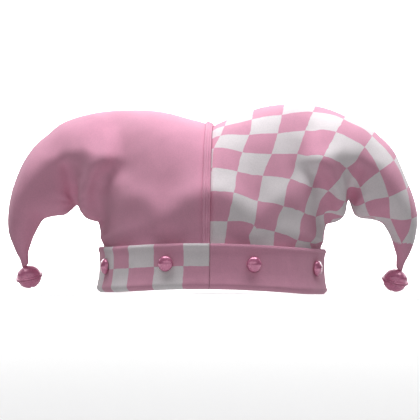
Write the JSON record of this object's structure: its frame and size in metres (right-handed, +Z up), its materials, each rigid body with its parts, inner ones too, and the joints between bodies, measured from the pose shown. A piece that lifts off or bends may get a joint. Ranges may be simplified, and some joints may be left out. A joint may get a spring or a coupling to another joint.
{
  "type": "jester hat",
  "caption": "Soft jester hat with drooping horns, a checked half, a turned-up studded band and round jingle bells.",
  "frame": {"origin": "centre of the hat's outer box on the surface that it stands on", "axes": "+X from the plain half to the checked half, +Y from the front to the back, +Z up"},
  "size_m": [0.3404, 0.2104, 0.1579],
  "materials": {
    "plain_cloth": "soft pink felted cloth with a fine weave",
    "check_cloth": "cloth printed with pink and white checks",
    "check_band": "cloth printed with pink and white checks",
    "band_cloth": "pink felted cloth",
    "stud_gloss": "glossy pink lacquer",
    "bell_gloss": "glossy pink lacquer"
  },
  "bodies": {
    "root": {"crown_plain": "plain_cloth", "crown_check": "check_cloth", "seam_welt": "plain_cloth", "band_check": "check_band", "band_plain": "band_cloth", "stud_1": "stud_gloss", "stud_2": "stud_gloss", "stud_3": "stud_gloss", "stud_4": "stud_gloss", "stud_5": "stud_gloss", "stud_6": "stud_gloss", "stud_7": "stud_gloss", "stud_8": "stud_gloss", "bell_left_dome": "bell_gloss", "bell_left_cup": "bell_gloss", "bell_right_dome": "bell_gloss", "bell_right_cup": "bell_gloss"}
  },
  "joints": []
}
